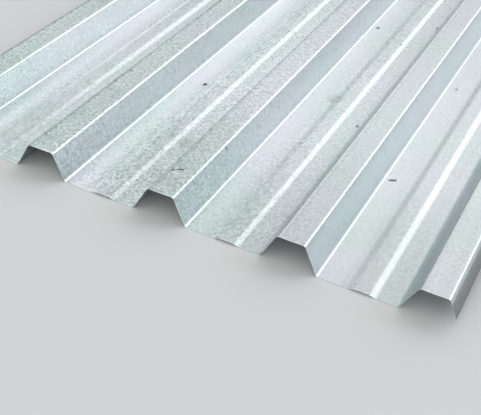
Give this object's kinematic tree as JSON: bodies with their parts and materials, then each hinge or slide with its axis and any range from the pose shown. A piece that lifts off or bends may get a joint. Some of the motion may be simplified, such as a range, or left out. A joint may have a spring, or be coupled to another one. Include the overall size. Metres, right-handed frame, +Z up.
{
  "type": "corrugated metal sheet",
  "caption": "Long roofing sheet of galvanised steel, roll-formed into flat-topped ribs with wide pans between them, a shallow stiffening bead in each pan and short down-turned edges.",
  "frame": {"origin": "middle of the sheet's width and length, on the plane of the pans' undersides", "axes": "+X across the ribs, +Y along the ribs, +Z up from the pans towards the rib crowns"},
  "size_m": [0.7444, 1.8, 0.0365],
  "materials": {
    "galvanised_steel": "hot-dip zinc coat, satin with a fine spangle"
  },
  "bodies": {
    "root": {"corrugated_sheet": "galvanised_steel"}
  },
  "joints": []
}
